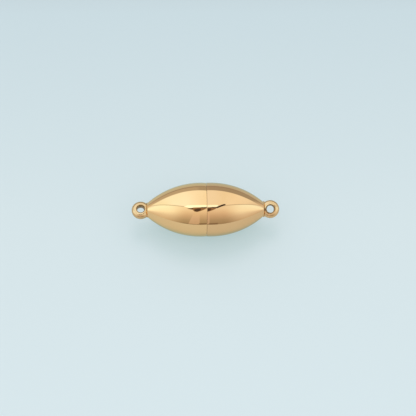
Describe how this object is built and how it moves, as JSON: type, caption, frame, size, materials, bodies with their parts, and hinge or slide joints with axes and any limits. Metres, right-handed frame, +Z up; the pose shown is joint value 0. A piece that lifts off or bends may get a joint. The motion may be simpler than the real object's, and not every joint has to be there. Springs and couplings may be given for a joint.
{
  "type": "magnetic clasp",
  "caption": "Olive-shaped magnetic necklace clasp in polished gilt metal: two hollow halves that meet on a spigot and a well, with a soldered ring on each nose.",
  "frame": {"origin": "middle of the closed clasp, on its long axis", "axes": "+X along the clasp from the socket half to the plug half, +Z up with the hole of the socket half's ring upright"},
  "size_m": [0.0218, 0.008, 0.008],
  "materials": {
    "gilt": "mirror-polished gold plate",
    "gilt_turned": "fine-turned gold plate",
    "nickel": "nickel-plated sintered magnet"
  },
  "bodies": {
    "socket_half": {"socket_shell": "gilt", "socket_cup": "gilt_turned", "socket_magnet": "nickel"},
    "plug_core": {"plug_magnet": "nickel"},
    "plug_half": {"plug_shell": "gilt", "plug_spigot": "gilt_turned"}
  },
  "joints": [
    {"name": "pull_apart", "type": "slide", "parent": "socket_half", "child": "plug_core", "axis": [1, 0, 0], "range_m": [0, 0.005]},
    {"name": "plug_turn", "type": "hinge", "parent": "plug_core", "child": "plug_half", "pos_m": [0, 0, 0], "axis": [1, 0, 0], "continuous": true}
  ]
}
